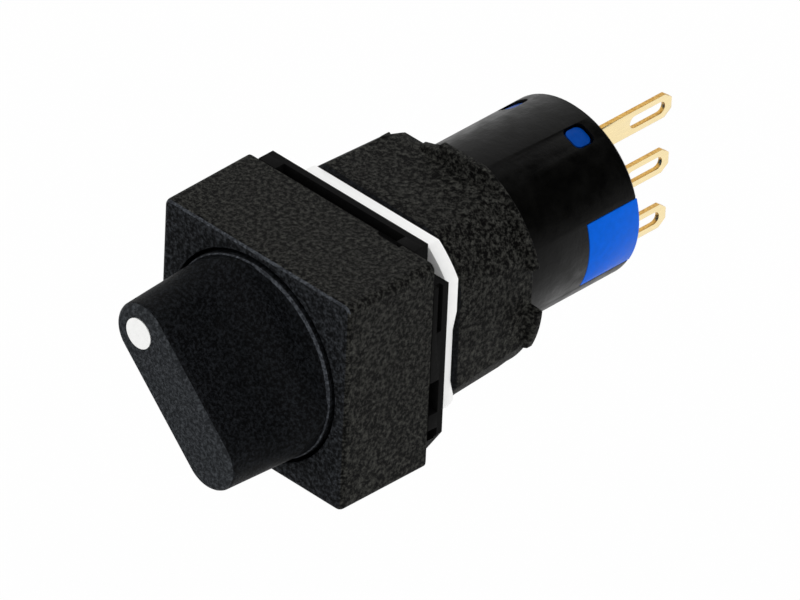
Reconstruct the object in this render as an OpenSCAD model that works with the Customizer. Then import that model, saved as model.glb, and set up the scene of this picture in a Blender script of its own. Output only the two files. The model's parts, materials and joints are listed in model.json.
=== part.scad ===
// Panel-mounted two-position rotary switch with a removable changeover contact block.
// The switch axis runs along Y: the knob faces -Y, the terminals point to +Y, +Z is up.
// The origin is on the axis, in the plane where the gasket seats on the panel.

/* [Bezel] */
// Width of the bezel across its front face
bezel_w = 24; // [22.8:0.1:27]
// Height of the bezel
bezel_h = 22.7; // [22.4:0.1:27]
// Distance from the panel to the bezel's front face
bezel_front = 12.65; // [11.5:0.1:16]
// Distance from the panel to the bezel's rear edge
bezel_rear = 1.85; // [1.4:0.05:3]
// Extra width that the mould draft adds at the rear edge
bezel_draft = 0.35; // [0:0.05:0.8]
// Rounding of the front edge
bezel_round = 0.55; // [0.2:0.05:1]
// Radius of the four long corners
bezel_corner = 0.8; // [0.3:0.1:2]
// Radius of the round well that the knob turns in
well_r = 10.6; // [9.8:0.1:10.8]
// Depth of the well
well_depth = 4.3; // [3.4:0.1:5]
// Thickness of the well's floor
floor_t = 1.2; // [0.8:0.1:2]
// Wall of the bezel's rear skirt
skirt_wall = 1.4; // [0.9:0.1:2]

/* [Knob] */
// Gap between the knob's disc and the well
knob_gap = 0.35; // [0.2:0.05:0.8]
// How far the disc's rim stands out of the bezel
rim_proud = 0.3; // [0:0.05:1]
// Height of the handle above the disc
handle_rise = 9.75; // [6:0.05:12]
// Width of the handle's front strip between its edges
handle_w = 6.3; // [5:0.1:7]
// Distance from the axis to the centre of each rounded handle end
handle_reach = 6.45; // [5.5:0.05:6.6]
// Rounding of the handle's front edge
handle_round = 0.7; // [0.3:0.05:1]
// Depth of the finger scoop in each side of the handle
scoop = 0.3; // [0:0.05:0.6]
// Radius of the blend between the handle's side and the disc
blend_r = 3.6; // [2:0.1:4]
// Wall of the hollow knob
knob_wall = 1.3; // [1:0.1:1.6]
// Radius of the white position dot
dot_r = 1.55; // [0.8:0.05:2]
// Depth of the pocket that holds the dot
dot_depth = 1; // [0.5:0.1:1.2]

/* [Mounting] */
// Outer radius of the threaded sleeve
sleeve_r = 8; // [7.8:0.05:8.2]
// Length of the threaded sleeve behind the panel plane
sleeve_len = 10.3; // [9:0.1:10.6]
// Thickness of the rubber gasket
gasket_t = 0.7; // [0.4:0.05:1]
// Height of the notch in each upper corner of the flange
corner_notch = 2.8; // [1.5:0.1:3]
// Width of the notch in the flange's upper corner on the right, seen from the front
notch_w_right = 2.8; // [1.5:0.1:3]
// Width of the notch in the flange's upper corner on the left
notch_w_left = 1.5; // [1:0.1:3]
// Width of the feet that press on the gasket beside the notches
foot_w = 2.2; // [1.5:0.1:3]
// Depth of the relief between the feet
foot_relief = 1.1; // [0.5:0.1:1.4]
// Depth of the slot in each side of the flange
side_slot = 1.3; // [0.6:0.1:1.5]
// Width of the chamfer on each lower corner of the flange
corner_chamfer = 2.1; // [1:0.1:3]
// Height of the chamfer on each lower corner of the flange
corner_chamfer_h = 3.3; // [1:0.1:3.6]
// Distance from the gasket to the anti-rotation plate as the switch is stored
panel_gap = 1.4; // [1:0.1:2]
// Thickness of the anti-rotation plate
plate_t = 1.5; // [0.8:0.1:2]
// Radius of the plate's corners
plate_corner_r = 12.65; // [12:0.05:13]
// Depth of the relief in the plate's right edge
plate_relief = 0.4; // [0.1:0.05:0.8]
// Width of the key that stops the plate from turning
key_w = 2; // [1.2:0.1:3]
// Depth of the keyway in the sleeve
key_depth = 0.8; // [0.5:0.05:1]

/* [Lock nut] */
// Distance across the nut's side flats
nut_w = 21.3; // [20:0.1:23]
// Distance across the nut's top and bottom flats
nut_h = 19.6; // [19.2:0.1:22]
// How far the nut's corners stay inside the wrench rim at the front
nut_corner_in = 0.1; // [-0.4:0.1:0.4]
// How far the nut's corners stay inside the wrench rim at the rear
nut_rear_in = 0.5; // [0.1:0.1:0.8]
// Chamfer round the nut's front
nut_chamfer = 0.4; // [0.1:0.05:0.6]
// Length of the nut
nut_len = 9.9; // [9:0.1:11]
// Length of the nut's thread
nut_thread_len = 4.2; // [3:0.1:5]
// How far the wrench rim at the nut's rear reaches past the bezel's front edge
rim_reach = 0.1; // [0.05:0.05:0.6]
// How far the rim's flats stay inside the bezel at the top and bottom
rim_margin = 0; // [-0.6:0.1:0.8]
// Thickness of the wrench rim at its edge
rim_t = 0.7; // [0.5:0.1:1.5]
// Length of the slope from the nut's flats to the rim
rim_slope = 0.6; // [0.3:0.1:1]
// Spans of the rim that are left out for the wrench, in degrees from +X towards +Z
rim_gaps = [[-3, 18], [110, 133], [177, 198], [290, 313]];
// Directions of the narrow wrench notches
rim_notches = [99, 279];
// Width of each narrow notch
rim_notch_w = 1.2; // [0.8:0.1:2]
// Depth of each narrow notch
rim_notch_d = 1.3; // [0.5:0.1:1.5]

/* [Contact block] */
// Outer radius of the round housing
barrel_r = 9.1; // [8.8:0.05:9.3]
// Distance from the panel plane to the housing's front edge
barrel_front = 10.6; // [10.4:0.1:11]
// Distance from the panel plane to the housing's rear edge
barrel_rear = 28.5; // [28:0.1:31]
// Wall of the housing round the terminal base
barrel_wall = 0.85; // [0.6:0.05:1]
// Thickness of the housing's inner web, which guides the plunger
web_t = 1.6; // [1.2:0.1:2]
// Width and length of each latch window
window_w = 2.5; // [1.8:0.1:3]
// Distance from the housing's rear edge to the middle of the windows
window_back = 2.8; // [2.4:0.1:4]
// Directions of the latch windows, from +X towards +Z
window_angles = [68, 124, 236, 292];
// Direction of the upper edge of the large notch
notch_top = 19; // [10:1:30]
// Direction of the lower edge of the large notch
notch_bottom = -28; // [-35:1:-20]
// Length of the large notch from the rear edge
notch_len = 6.7; // [5:0.1:6.7]

/* [Terminals] */
// Distance from the contact chamber's wall to the middle line of each outer terminal
terminal_inset = 1.8; // [1.6:0.05:1.9]
// Distance of the terminals from the axis, to the side
tab_x = 2.85; // [2.4:0.05:3.2]
// Width of a terminal tab
tab_w = 2.6; // [2:0.1:2.8]
// Thickness of a terminal tab
tab_t = 0.5; // [0.4:0.05:0.8]
// Distance from the panel plane to the tips of the tabs
tab_tip = 38.4; // [36:0.1:40]
// Width of the narrow neck by which a terminal passes through its base
neck_w = 1.6; // [1.2:0.1:1.8]
// Width of the slot in a tab
slot_w = 1.3; // [0.6:0.1:1.3]
// Length of the slot in a tab
slot_len = 4.6; // [2:0.1:6]
// Distance from the slot's end to the tab's tip
slot_end = 0.9; // [0.8:0.1:2]

/* [Switching mechanism] */
// Turn of the rocking contact between its two positions
rock = 10; // [6:0.5:12]
// Distance from the axis to the plunger
plunger_z = 3.5; // [3.2:0.1:3.8]
// Radius of the plunger
plunger_r = 1.2; // [0.9:0.05:1.3]
// How far each contact sits inside the middle line of its terminal
contact_inset = 0.2; // [0:0.1:0.6]
// Thickness of the rocking contact
rocker_t = 0.5; // [0.3:0.05:0.6]
// Width of the rocking contact
rocker_w = 3; // [2:0.1:3.2]
// Distance from the panel plane to the rocking contact's pivot line
pivot_y = 18.9; // [18.7:0.1:19.1]
// Radius of the contact rivets
rivet_r = 1; // [0.7:0.05:1.2]
// Height of each rivet's head
rivet_h = 0.5; // [0.4:0.05:0.6]
// Radius of the detent balls
ball_r = 1; // [0.8:0.05:1.2]
// Depth of the detent notches
detent_depth = 0.3; // [0.2:0.05:0.4]
// Mean radius of the detent spring's coils
detent_coil_r = 0.72; // [0.6:0.02:0.8]
// Radius of the detent spring's wire
detent_wire_r = 0.14; // [0.1:0.01:0.15]
// Mean radius of the return spring's coils
return_coil_r = 1.05; // [0.9:0.05:1.1]
// Radius of the return spring's wire
return_wire_r = 0.16; // [0.12:0.01:0.18]

/* [Hidden] */
$fn = 64;
run_gap = 0.05;
seat_gap = 0.1;
e = 0.01;
// A length past every piece, for cuts.
far = 20;
// The handle points to 135 degrees at rest and turns by 90 degrees.
rest_angle = 135;
turn = 90;

knob_r = well_r - knob_gap;
knob_face = -(bezel_front + rim_proud);
handle_face = knob_face - handle_rise;
knob_skirt = -(bezel_front - well_depth + 0.35);
well_floor = -(bezel_front - well_depth);
cavity_front = well_floor + floor_t;
hub_r = 5;
hub_rear = -2;
bore_r = hub_r + run_gap;
stem_r = 2.5;
ring_wire_r = 0.55;
ring_y = -4.8;
hook_y = -4.2;
latch_y = barrel_rear - window_back;

flange_w = bezel_w + bezel_draft;
flange_h = bezel_h;
chamber_r = 6.2;
rotor_r = chamber_r - 0.2;
chamber_front = 3;
rotor_front = chamber_front + run_gap;
rotor_rear = 8.7;
clip_y = rotor_rear + 0.2;
clip_t = 0.6;
spigot_r = sleeve_r - 0.4;
spigot_rear = 13.6;
ball_y = 5.9;
ball_c = chamber_r - run_gap - ball_r;
stop_r = 5.5;
stop_half = 12;
stop_rest = 225;

plug_r = spigot_r + seat_gap;
groove_r = spigot_r + 0.7;
web_front = spigot_rear + 0.4;
web_rear = web_front + web_t;
chamber_wall_r = barrel_r - 1.1;
pitch = chamber_wall_r - terminal_inset;
arm = pitch - contact_inset;
base_front = 21.7;
base_r = barrel_r - barrel_wall - run_gap;
base_rear = barrel_rear - 0.3;
nut_bore_r = barrel_r + 0.2;

cam_rise = 2 * plunger_z * tan(rock / 2);
cam_tilt = atan(cam_rise / (2 * plunger_z * sin(turn / 2)));
cam_y = 12;
cam_r = 5;
cam_inner = 2.2;
plunger_front = cam_y + run_gap;
plunger_rear = pivot_y - plunger_z * tan(rock / 2) - (rocker_t / 2) / cos(rock / 2) - run_gap;
closed_y = pivot_y + (rocker_t / 2 + rivet_h) * cos(rock / 2) + arm * sin(rock / 2) + rivet_r * sin(rock / 2)
  + 0.03;
tongue_y = closed_y + rivet_h;
tongue_t = tab_t;
spring_seat = base_front + 1.4;

nut_front = panel_gap + plate_t;
nut_rear = nut_front + nut_len;
rim_h = bezel_h - 2 * rim_margin;
rim_r = max(bezel_w, rim_h) / 2 + rim_reach;
nut_corner_r = rim_r - nut_corner_in;
nut_rear_r = rim_r - nut_rear_in;
spring_pocket_r = return_coil_r + return_wire_r + 0.19;

// A rod along Y from y0 to y1.
module rod(y0, y1, r0, r1 = undef) {
  translate([0, y0, 0]) rotate([-90, 0, 0]) cylinder(h = y1 - y0, r1 = r0, r2 = is_undef(r1) ? r0 : r1);
}

// An outline drawn as seen from the front, filled from y0 to y1.
module slab(y0, y1) {
  translate([0, y1, 0]) rotate([90, 0, 0]) linear_extrude(y1 - y0) children();
}

// A profile of radius and distance behind the panel, turned about the switch axis.
module turned() {
  rotate([-90, 0, 0]) rotate_extrude() children();
}

// Places its children at an angle from +X towards +Z.
module at_angle(a) {
  rotate([0, -a, 0]) children();
}

// A rectangle with rounded corners.
module rounded(w, h, r) {
  hull() for (x = [-1, 1], z = [-1, 1]) translate([x * (w / 2 - r), z * (h / 2 - r)]) circle(r, $fn = 32);
}

// A wedge of a disc between two angles, as an outline.
module sector(r, a0, a1, steps = 6) {
  polygon(concat([[0, 0]], [for (i = [0:steps]) let (a = a0 + (a1 - a0) * i / steps)
    [r * cos(a), r * sin(a)]]));
}

// A coil spring along Z, as one swept tube.
module coil(r, wire, turns, height, sides = 8, steps = 14) {
  n = turns * steps;
  rings = [for (i = [0:n]) let (t = i / n, a = 360 * turns * t)
    [for (k = [0:sides - 1]) let (b = 360 * k / sides, q = r + wire * cos(b))
      [q * cos(a), q * sin(a), wire + (height - 2 * wire) * t + wire * sin(b)]]];
  points = [for (ring = rings) for (p = ring) p];
  walls = [for (i = [0:n - 1], k = [0:sides - 1]) let (j = (k + 1) % sides)
    [i * sides + k, (i + 1) * sides + k, (i + 1) * sides + j, i * sides + j]];
  polyhedron(points, concat(walls, [[for (k = [0:sides - 1]) k]],
    [[for (k = [sides - 1:-1:0]) n * sides + k]]), convexity = 8);
}

// Half of the handle's cross-section: half width against the distance from the panel.
function handle_profile(half, cut) = let (top = handle_face, foot = knob_face, mid = foot - blend_r)
  concat([[0, top], [half - handle_round, top]],
    [for (a = [15:15:90]) [half - handle_round + handle_round * sin(a),
      top + handle_round * (1 - cos(a))]],
    [[half + 0.1 - cut * 0.6, top + 2.2], [half + 0.2 - cut, (top + mid) / 2],
      [half + 0.3 - cut * 0.6, mid - 0.6]],
    [for (a = [0:15:75]) [half + 0.35 + blend_r * (1 - cos(a)), mid + blend_r * sin(a)]],
    [[half + 0.35 + blend_r, foot + e], [0, foot + e]]);

// The handle, with its length along X.
module handle_form() intersection() {
  union() {
    for (s = [-1, 1]) translate([-handle_reach, 0, 0]) rotate([0, 90, 0]) linear_extrude(2 * handle_reach)
      polygon([for (p = handle_profile(handle_w / 2, scoop)) [-s * p[0], p[1]]]);
    for (s = [-1, 1]) translate([s * handle_reach, 0, 0]) turned() polygon(handle_profile(handle_w / 2, 0));
  }
  rod(handle_face - 1, knob_face + 1, knob_r - 0.75, knob_r - 0.15);
}

// The D-shaped section of the rotor's stem, wider all round by a gap.
module stem(y0, y1, gap = 0) difference() {
  rod(y0, y1, stem_r + gap);
  translate([stem_r - 0.6 + gap, y0 - 1, -stem_r - 1]) cube([3, -y0, 2 * stem_r + 2]);
}

module knob() color([0.075, 0.075, 0.082]) difference() {
  union() {
    at_angle(rest_angle) handle_form();
    turned() polygon([[0, knob_face], [knob_r - 0.4, knob_face], [knob_r - 0.12, knob_face + 0.12],
      [knob_r, knob_face + 0.4], [knob_r, knob_skirt], [0, knob_skirt]]);
    rod(knob_skirt - e, hub_rear, hub_r);
  }
  // Hollow behind the disc, round the hub.
  turned() polygon([[hub_r, knob_skirt + 1], [hub_r, knob_face + knob_wall + 0.6],
    [knob_r - knob_wall, knob_face + knob_wall + 0.6], [knob_r - knob_wall, knob_skirt + 1]]);
  // Cores in the two ends of the handle.
  at_angle(rest_angle) for (s = [-1, 1]) hull() for (x = [hub_r + 0.2, handle_reach + 0.4])
    translate([s * x, 0, 0]) rod(handle_face + 2.4, knob_skirt - 1, handle_w / 2 - knob_wall - 0.4);
  stem(-10, hub_rear + 1, run_gap);
  // Groove for the seal ring.
  turned() translate([hub_r, ring_y]) square([2.4, 1.3], center = true);
  // Pocket for the dot.
  at_angle(rest_angle) translate([handle_reach + 0.2, 0, 0])
    rod(handle_face - 1, handle_face + dot_depth, dot_r);
}

module indicator_dot() color([0.96, 0.96, 0.94]) at_angle(rest_angle)
  translate([handle_reach + 0.2, 0, 0]) rod(handle_face - 0.02, handle_face + dot_depth, dot_r);

module bezel() color([0.085, 0.085, 0.09]) difference() {
  hull() {
    slab(-bezel_front, -bezel_front + e) rounded(bezel_w - 2 * bezel_round, bezel_h - 2 * bezel_round,
      bezel_corner);
    slab(-bezel_front + bezel_round * 0.3, -bezel_front + bezel_round * 0.3 + e)
      rounded(bezel_w - 0.6 * bezel_round, bezel_h - 0.6 * bezel_round, bezel_corner);
    slab(-bezel_front + bezel_round, -bezel_front + bezel_round + e) rounded(bezel_w, bezel_h, bezel_corner);
    slab(-bezel_rear - e, -bezel_rear) rounded(bezel_w + bezel_draft, bezel_h, bezel_corner);
  }
  rod(-bezel_front - 1, well_floor, well_r);
  rod(-bezel_front - 1, 1, hub_r + 2);
  slab(cavity_front, 1) square([bezel_w - 2 * skirt_wall, bezel_h - 2 * skirt_wall], center = true);
  // Catch slots for the hooks of the operator body.
  for (s = [-1, 1]) translate([s * (bezel_w / 2 - skirt_wall), hook_y, 0])
    cube([1.2, 1.5, 6.2], center = true);
  // Release notch in the rear edge, at the top.
  translate([6.5, -bezel_rear, bezel_h / 2]) cube([3, 1, 1.6], center = true);
}

// Outline of the gasket and the flange: notched above and chamfered below.
module gasket_outline() {
  w = flange_w / 2;
  h = flange_h / 2;
  difference() {
    square([2 * w, 2 * h], center = true);
    translate([w, h]) square([2 * notch_w_right, 2 * corner_notch], center = true);
    translate([-w, h]) square([2 * notch_w_left, 2 * corner_notch], center = true);
    for (s = [-1, 1])
      polygon([[s * (w + 1), -h - 1], [s * (w - corner_chamfer), -h - 1], [s * (w - corner_chamfer), -h],
        [s * w, -h + corner_chamfer_h], [s * (w + 1), -h + corner_chamfer_h]]);
  }
}

// Outline of the flange: relieved between two feet at the top and bottom, and slotted in both sides.
module flange_outline() difference() {
  x0 = -flange_w / 2 + notch_w_left + foot_w;
  x1 = flange_w / 2 - notch_w_right - foot_w;
  gasket_outline();
  for (s = [-1, 1]) translate([(x0 + x1) / 2, s * flange_h / 2])
    square([x1 - x0, 2 * foot_relief], center = true);
  for (s = [-1, 1], slot = [[-3.7, 3.6], [-7.9, 1.4]]) translate([s * flange_w / 2, slot[0]])
    square([2 * side_slot, slot[1]], center = true);
}

module operator_body() color([0.07, 0.07, 0.075]) difference() {
  union() {
    rod(well_floor + 0.1, cavity_front + 0.2, hub_r + 1.9);
    slab(cavity_front + seat_gap, -bezel_rear)
      square([bezel_w - 2 * skirt_wall - 0.2, bezel_h - 2 * skirt_wall - 0.2], center = true);
    for (s = [-1, 1]) translate([s * (bezel_w / 2 - skirt_wall), hook_y, 0])
      cube([0.9, 1.3, 6], center = true);
    difference() {
      slab(-bezel_rear, -gasket_t) flange_outline();
      // Shallow relief high in each side.
      for (s = [-1, 1]) translate([s * flange_w / 2, -bezel_rear + 0.85, 6.05])
        cube([1, 0.6, 5.1], center = true);
    }
    rod(-gasket_t, sleeve_len, sleeve_r);
    rod(sleeve_len, spigot_rear, spigot_r);
    for (a = [0, 180]) at_angle(a) slab(spigot_rear - 1.4, spigot_rear - 0.4) intersection() {
      sector(far, -11, 11);
      circle(spigot_r + 0.6);
    }
  }
  rod(-bezel_front, far, bore_r);
  rod(chamber_front, far, chamber_r);
  // Detent notches.
  for (a = [0:90:270]) at_angle(a + 45) translate([chamber_r + detent_depth - ball_r - 0.1, 0, 0])
    rod(ball_y - 1.3, rotor_rear + 0.1, ball_r + 0.1);
  // Groove for the retaining ring.
  turned() translate([0, clip_y - 0.05]) square([chamber_r + 0.45, clip_t + 0.1]);
  // Track that limits the turn of the rotor.
  slab(chamber_front - 1.2, chamber_front + e) difference() {
    intersection() {
      circle(stop_r + 0.5);
      sector(far, stop_rest - turn - stop_half - 2, stop_rest + stop_half + 2, 12);
    }
    circle(bore_r - 0.2);
  }
  // Keyway along the underside of the sleeve.
  translate([-key_w / 2, -gasket_t - 0.1, -sleeve_r - 1]) cube([key_w, 30, 1 + key_depth]);
}

module panel_gasket() color([0.05, 0.05, 0.055]) slab(-gasket_t, 0) difference() {
  gasket_outline();
  circle(sleeve_r + seat_gap);
}

module shaft_seal_ring() color([0.12, 0.11, 0.1])
  turned() translate([hub_r - ring_wire_r, ring_y]) circle(ring_wire_r, $fn = 24);

// The rotor that the knob turns: stem, journal, stop lug, detent ball bore and slanting cam face.
module cam_rotor() color([0.9, 0.88, 0.82]) difference() {
  union() {
    stem(-9.6, hub_rear + 0.3);
    rod(hub_rear + 0.2, rotor_front + e, hub_r);
    rod(rotor_front, rotor_rear, rotor_r);
    slab(chamber_front - 1, rotor_front + e) intersection() {
      difference() {
        circle(stop_r + 0.35);
        circle(hub_r - 0.3);
      }
      sector(far, stop_rest - stop_half, stop_rest + stop_half);
    }
    cam_face();
  }
  // Cross bore for the detent spring and balls, and a core at the rear.
  at_angle(45) translate([-far / 2, ball_y, 0]) rotate([0, 90, 0]) cylinder(h = far, r = ball_r + run_gap);
  rod(rotor_rear - 1, far, cam_inner);
}

// The slanting end face of the rotor: it lifts the plunger by cam_rise over the turn of the knob.
module cam_face() difference() {
  rod(rotor_rear - e, cam_y + 2, cam_r);
  at_angle(turn / 2) translate([0, cam_y + cam_rise / 2, 0]) rotate([0, 0, cam_tilt])
    translate([-far, 0, -far]) cube([2 * far, far, 2 * far]);
}

module rotor_retaining_ring() color([0.75, 0.76, 0.78]) difference() {
  rod(clip_y, clip_y + clip_t, chamber_r + 0.35);
  rod(clip_y - 1, clip_y + clip_t + 1, cam_r + 0.3);
  at_angle(90) translate([6, clip_y, 0]) cube([4, 4, 2.4], center = true);
}

module detent_ball() at_angle(45) translate([ball_c, ball_y, 0]) sphere(ball_r);

module detent_ball_a() color([0.8, 0.81, 0.83]) detent_ball();

module detent_ball_b() color([0.8, 0.81, 0.83]) rotate([0, 180, 0]) detent_ball();

module detent_spring() color([0.7, 0.71, 0.73]) at_angle(45)
  translate([-ball_c + ball_r + 0.05, ball_y, 0]) rotate([0, 90, 0])
    coil(detent_coil_r, detent_wire_r, 9, 2 * (ball_c - ball_r - 0.05), 6, 12);

module anti_rotation_plate() color([0.93, 0.93, 0.92]) slab(panel_gap, panel_gap + plate_t) {
  side = nut_w / 2;
  difference() {
    intersection() {
      square([nut_w, nut_h], center = true);
      circle(plate_corner_r);
    }
    circle(sleeve_r + seat_gap);
    polygon([[side + 1, 3.2], [side, 3.2], [side - plate_relief, 0.9], [side - plate_relief, -4.8],
      [side, -6], [side + 1, -6]]);
  }
  translate([0, -sleeve_r - seat_gap]) square([key_w - 0.2, 2 * (key_depth - 0.05)], center = true);
}

// Two opposite flats of the nut with their front chamfer, as a bar along Z.
module nut_flats(across) {
  x = across / 2;
  translate([0, 0, -far]) linear_extrude(2 * far) polygon([[-x, nut_rear], [-x, nut_front + nut_chamfer],
    [-x + nut_chamfer, nut_front], [x - nut_chamfer, nut_front], [x, nut_front + nut_chamfer],
    [x, nut_rear]]);
}

// The rim at the nut's rear, with its wrench gaps and notches.
module wrench_rim() difference() {
  turned() polygon([[0, nut_rear - rim_t - rim_slope], [nut_h / 2 - 0.4, nut_rear - rim_t - rim_slope],
    [rim_r, nut_rear - rim_t], [rim_r, nut_rear], [0, nut_rear]]);
  for (s = [-1, 1]) {
    translate([0, nut_rear, s * (rim_h / 2 + 5)]) cube([2 * far, 4, 10], center = true);
    translate([s * (bezel_w / 2 + 2 * rim_reach + 5), nut_rear, 0]) cube([10, 4, 2 * far], center = true);
  }
  for (g = rim_gaps) slab(nut_front, nut_rear + 1) difference() {
    sector(far, g[0], g[1]);
    circle(nut_h / 2 - 1);
  }
  for (a = rim_notches) at_angle(a) translate([rim_r, nut_rear, 0])
    cube([2 * rim_notch_d, 4, rim_notch_w], center = true);
}

module lock_nut() color([0.08, 0.08, 0.085]) difference() {
  union() {
    intersection() {
      nut_flats(nut_w);
      rotate([0, 90, 0]) nut_flats(nut_h);
      turned() polygon([[0, nut_front], [nut_corner_r - nut_chamfer, nut_front],
        [nut_corner_r, nut_front + nut_chamfer], [nut_rear_r, nut_rear], [0, nut_rear]]);
    }
    wrench_rim();
  }
  rod(nut_front - 1, nut_rear + 1, sleeve_r + run_gap);
  rod(nut_front + nut_thread_len, nut_rear + 1, nut_bore_r);
  turned() polygon([[0, nut_rear + e], [nut_bore_r + 0.35, nut_rear + e], [nut_bore_r, nut_rear - 0.35],
    [0, nut_rear - 0.35]]);
}

// A square block with rounded edges that stands through the housing's wall at a latch window.
module window_block(a, w) at_angle(a) translate([barrel_r, barrel_rear - window_back, 0])
  rotate([0, 90, 0]) linear_extrude(6, center = true) rounded(w, w, 0.7);

module contact_housing() color([0.07, 0.07, 0.075]) difference() {
  // Plug bore with its bayonet groove, web, contact chamber and the seat of the terminal base.
  turned() polygon([[0, web_front], [plug_r, web_front], [plug_r, spigot_rear - 0.3],
    [groove_r, spigot_rear - 0.3], [groove_r, spigot_rear - 1.5], [plug_r, spigot_rear - 1.5],
    [plug_r, barrel_front], [barrel_r - 0.3, barrel_front], [barrel_r, barrel_front + 0.3],
    [barrel_r, barrel_rear - 0.3], [barrel_r - 0.3, barrel_rear], [base_r + run_gap, barrel_rear],
    [base_r + run_gap, base_front], [chamber_wall_r, base_front], [chamber_wall_r, web_rear], [0, web_rear]]);
  translate([0, 0, -plunger_z]) rod(web_front - 1, web_rear + 1, plunger_r + run_gap);
  // Two entries to the bayonet groove.
  for (a = [30, 210]) at_angle(a) slab(barrel_front - 1, spigot_rear - 1) intersection() {
    sector(far, -13, 13);
    circle(groove_r - 0.05);
  }
  for (a = window_angles) window_block(a, window_w);
  slab(barrel_rear - notch_len, barrel_rear + 1) sector(far, notch_bottom, notch_top, 8);
}

// The blue base that closes the block and carries the terminals.
module terminal_base() color([0.02, 0.25, 0.85]) difference() {
  union() {
    rod(base_front + 0.05, base_rear, base_r);
    slab(barrel_rear - notch_len + seat_gap, base_rear + 0.15) intersection() {
      sector(far, notch_bottom + 0.6, notch_top - 0.6, 8);
      circle(barrel_r);
    }
    // Latches that snap into the windows.
    for (a = window_angles) intersection() {
      window_block(a, window_w - 0.4);
      turned() polygon([[barrel_r - 2.5, latch_y - 2], [barrel_r - 0.1, latch_y - 1.3],
        [barrel_r - 0.3, latch_y + 1.3], [barrel_r - 2.5, latch_y + 2]]);
    }
  }
  for (z = [-pitch, 0, pitch]) translate([tab_x - tab_t / 2 - 0.02, base_front - 1, z - neck_w / 2 - 0.02])
    cube([tab_t + 0.04, 12, neck_w + 0.04]);
  // Seat for the return spring.
  translate([0, 0, -plunger_z]) rod(base_front - 1, spring_seat, spring_pocket_r);
}

// A terminal: solder tab behind the base, narrow neck through it, and a tongue in the contact chamber.
module terminal(z, front, inner) {
  translate([tab_x, 0, z]) {
    rotate([0, 90, 0]) linear_extrude(tab_t, center = true) difference() {
      polygon([[-tab_w / 2, base_rear + 0.3], [-tab_w / 2, tab_tip - 0.9], [-tab_w / 2 + 0.7, tab_tip],
        [tab_w / 2 - 0.7, tab_tip], [tab_w / 2, tab_tip - 0.9], [tab_w / 2, base_rear + 0.3]]);
      hull() for (y = [tab_tip - slot_end - slot_w / 2, tab_tip - slot_end - slot_len + slot_w / 2])
        translate([0, y]) circle(slot_w / 2, $fn = 24);
    }
    translate([-tab_t / 2, front, -neck_w / 2]) cube([tab_t, base_rear + 0.4 - front, neck_w]);
  }
  translate([inner, front, z - neck_w / 2]) cube([tab_x - inner, tongue_t, neck_w]);
}

module fixed_rivet(z) translate([0, 0, z]) rod(closed_y, tongue_y, rivet_r - 0.1, rivet_r);

module terminal_upper() color([0.85, 0.65, 0.25]) terminal(pitch, tongue_y, -1.4);

module terminal_lower() color([0.85, 0.65, 0.25]) terminal(-pitch, tongue_y, -1.4);

module terminal_middle() color([0.85, 0.65, 0.25]) {
  terminal(0, tongue_y, -rocker_w / 2 - 0.6);
  hull() {
    translate([-rocker_w / 2, tongue_y, -0.5]) cube([rocker_w, 0.1, 1]);
    translate([-rocker_w / 2, pivot_y + rocker_t / 2 + 0.35, 0]) rotate([0, 90, 0])
      cylinder(h = rocker_w, r = 0.3, $fn = 24);
  }
  for (s = [-1, 1]) translate([s * (rocker_w / 2 + 0.35), (pivot_y - 0.7 + tongue_y + tongue_t) / 2, 0])
    cube([0.4, tongue_y + tongue_t - pivot_y + 0.7, 1.2], center = true);
}

module fixed_rivet_upper() color([0.8, 0.8, 0.8]) fixed_rivet(arm);

module fixed_rivet_lower() color([0.8, 0.8, 0.8]) fixed_rivet(-arm);

// The plunger that the cam pushes back.
module plunger() color([0.88, 0.86, 0.8]) translate([0, 0, -plunger_z]) {
  turned() polygon(concat(
    [for (a = [0:15:75]) [plunger_r * sin(a), plunger_front + 0.6 * plunger_r * (1 - cos(a))]],
    [[plunger_r, plunger_front + 0.7 * plunger_r], [plunger_r, web_rear + 0.4],
      [plunger_r + 0.6, web_rear + 0.4], [plunger_r + 0.6, web_rear + 1.1], [plunger_r, web_rear + 1.1],
      [plunger_r, plunger_rear - 0.7 * plunger_r]],
    [for (a = [75:-15:0]) [plunger_r * sin(a), plunger_rear - 0.6 * plunger_r * (1 - cos(a))]]));
}

// Places its children in the tilted frame of the rocking contact, with the pivot at the origin.
module rocked() translate([0, pivot_y, 0]) rotate([-rock / 2, 0, 0]) children();

module rocking_contact() color([0.8, 0.55, 0.3]) rocked() {
  translate([0, -rocker_t / 2, 0]) rotate([-90, 0, 0]) linear_extrude(rocker_t)
    rounded(rocker_w, 2 * arm + 2.4, 0.8);
}

module moving_rivet(z) rocked() translate([0, 0, z])
  rod(rocker_t / 2, rocker_t / 2 + rivet_h, rivet_r, rivet_r - 0.1);

module moving_rivet_upper() color([0.8, 0.8, 0.8]) moving_rivet(arm);

module moving_rivet_lower() color([0.8, 0.8, 0.8]) moving_rivet(-arm);

module return_spring() color([0.7, 0.71, 0.73]) {
  top = pivot_y - (plunger_z - 1.3) * tan(rock / 2) + rocker_t / 2 + 0.08;
  translate([0, spring_seat, -plunger_z]) rotate([90, 0, 0])
    coil(return_coil_r, return_wire_r, 5, spring_seat - top, 6, 14);
}

knob();
indicator_dot();
bezel();
operator_body();
panel_gasket();
shaft_seal_ring();
cam_rotor();
rotor_retaining_ring();
detent_ball_a();
detent_ball_b();
detent_spring();
anti_rotation_plate();
lock_nut();
contact_housing();
plunger();
rocking_contact();
moving_rivet_upper();
moving_rivet_lower();
return_spring();
terminal_base();
terminal_upper();
terminal_middle();
terminal_lower();
fixed_rivet_upper();
fixed_rivet_lower();
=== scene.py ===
"""Dresses a panel-mounted rotary switch: its moulded skins, thread, springs, finishes and studio.

The switch axis runs along Y, the knob faces -Y and +Z is up. The settings, the patterns of the
finishes and the stage are in metres. The pieces are worked out in millimetres and written in metres.
"""
import json
import math

import bmesh
import bpy
from mathutils import Matrix, Vector


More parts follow.
